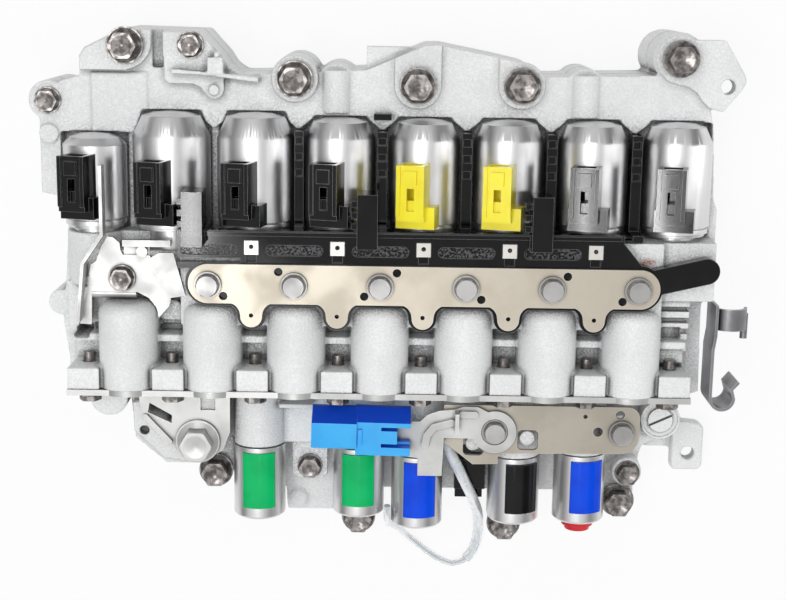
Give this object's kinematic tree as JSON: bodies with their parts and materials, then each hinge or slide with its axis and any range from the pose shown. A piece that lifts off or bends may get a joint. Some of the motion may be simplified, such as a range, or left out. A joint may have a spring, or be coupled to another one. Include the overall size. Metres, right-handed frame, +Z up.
{
  "type": "transmission_valve_body",
  "caption": "Cast aluminium transmission valve body with a row of linear solenoids, spring accumulators, shift solenoids, black harness frame and sensor lead",
  "frame": {"origin": "on the flat mounting face under the lower casting, near the middle of the part", "axes": "+X along the solenoid row, +Y from the cover side to the solenoid side, +Z up from the mounting face"},
  "size_m": [0.2939, 0.243, 0.0755],
  "materials": {
    "cast_aluminium": "as cast, sandy",
    "bright_steel": "turned, bright",
    "warm_steel": "rolled, warm grey",
    "dark_steel": "phosphated, worn bright on the hexagons",
    "zinc_sheet": "zinc plated",
    "black_plastic": "moulded, fine grain",
    "yellow_plastic": "moulded",
    "green_plastic": "moulded",
    "blue_plastic": "moulded",
    "light_blue_plastic": "moulded",
    "red_plastic": "moulded",
    "clear_sleeve": "translucent sleeve",
    "contact_metal": "tinned",
    "spring_steel": "wound wire"
  },
  "bodies": {
    "valve_body": {"lower_valve_body": "cast_aluminium", "separator_plate": "warm_steel", "upper_valve_body": "cast_aluminium", "accumulator_cover": "zinc_sheet", "case_bolts": "dark_steel", "body_bolts": "dark_steel", "plate_bolts": "warm_steel", "pivot_bolt": "zinc_sheet", "retainer_plate": "warm_steel", "harness_frame": "black_plastic", "contact_tabs": "contact_metal", "lower_plate": "warm_steel", "left_clamp": "zinc_sheet", "latch_plate": "zinc_sheet", "sensor_bracket": "zinc_sheet", "pipe_clip": "spring_steel", "bore_plug": "cast_aluminium", "red_end_cap": "red_plastic", "sensor_connector": "light_blue_plastic", "oil_sensor": "black_plastic", "sensor_lead": "clear_sleeve", "linear_solenoid_1": "bright_steel", "linear_solenoid_2": "bright_steel", "linear_solenoid_3": "bright_steel", "linear_solenoid_4": "bright_steel", "linear_solenoid_5": "bright_steel", "linear_solenoid_6": "bright_steel", "linear_solenoid_7": "bright_steel", "linear_solenoid_8": "bright_steel", "solenoid_plug_1": "black_plastic", "solenoid_plug_2": "black_plastic", "solenoid_plug_3": "black_plastic", "solenoid_plug_4": "black_plastic", "solenoid_plug_5": "yellow_plastic", "solenoid_plug_6": "yellow_plastic", "solenoid_plug_7": "black_plastic", "solenoid_plug_8": "black_plastic", "shift_solenoid_1": "bright_steel", "shift_solenoid_2": "bright_steel", "shift_solenoid_3": "bright_steel", "shift_solenoid_4": "bright_steel", "shift_solenoid_5": "bright_steel", "shift_inserts_green": "green_plastic", "shift_inserts_blue": "blue_plastic", "shift_inserts_black": "black_plastic", "accumulator_spring_1": "spring_steel", "accumulator_spring_2": "spring_steel", "accumulator_spring_3": "spring_steel", "accumulator_spring_4": "spring_steel", "accumulator_spring_5": "spring_steel", "accumulator_spring_6": "spring_steel", "accumulator_spring_7": "spring_steel"},
    "piston_1": {"accumulator_piston_1": "bright_steel"},
    "piston_2": {"accumulator_piston_2": "bright_steel"},
    "piston_3": {"accumulator_piston_3": "bright_steel"},
    "piston_4": {"accumulator_piston_4": "bright_steel"},
    "piston_5": {"accumulator_piston_5": "bright_steel"},
    "piston_6": {"accumulator_piston_6": "bright_steel"},
    "piston_7": {"accumulator_piston_7": "bright_steel"}
  },
  "joints": [
    {"name": "piston_slide_1", "type": "slide", "parent": "valve_body", "child": "piston_1", "axis": [0, -1, 0], "range_m": [0, 0.007], "stiffness_N_per_m": 900, "springref_m": -0.004, "deforming": ["accumulator_spring_1"]},
    {"name": "piston_slide_2", "type": "slide", "parent": "valve_body", "child": "piston_2", "axis": [0, -1, 0], "range_m": [0, 0.007], "stiffness_N_per_m": 900, "springref_m": -0.004, "deforming": ["accumulator_spring_2"]},
    {"name": "piston_slide_3", "type": "slide", "parent": "valve_body", "child": "piston_3", "axis": [0, -1, 0], "range_m": [0, 0.007], "stiffness_N_per_m": 900, "springref_m": -0.004, "deforming": ["accumulator_spring_3"]},
    {"name": "piston_slide_4", "type": "slide", "parent": "valve_body", "child": "piston_4", "axis": [0, -1, 0], "range_m": [0, 0.007], "stiffness_N_per_m": 900, "springref_m": -0.004, "deforming": ["accumulator_spring_4"]},
    {"name": "piston_slide_5", "type": "slide", "parent": "valve_body", "child": "piston_5", "axis": [0, -1, 0], "range_m": [0, 0.007], "stiffness_N_per_m": 900, "springref_m": -0.004, "deforming": ["accumulator_spring_5"]},
    {"name": "piston_slide_6", "type": "slide", "parent": "valve_body", "child": "piston_6", "axis": [0, -1, 0], "range_m": [0, 0.007], "stiffness_N_per_m": 900, "springref_m": -0.004, "deforming": ["accumulator_spring_6"]},
    {"name": "piston_slide_7", "type": "slide", "parent": "valve_body", "child": "piston_7", "axis": [0, -1, 0], "range_m": [0, 0.007], "stiffness_N_per_m": 900, "springref_m": -0.004, "deforming": ["accumulator_spring_7"]}
  ]
}
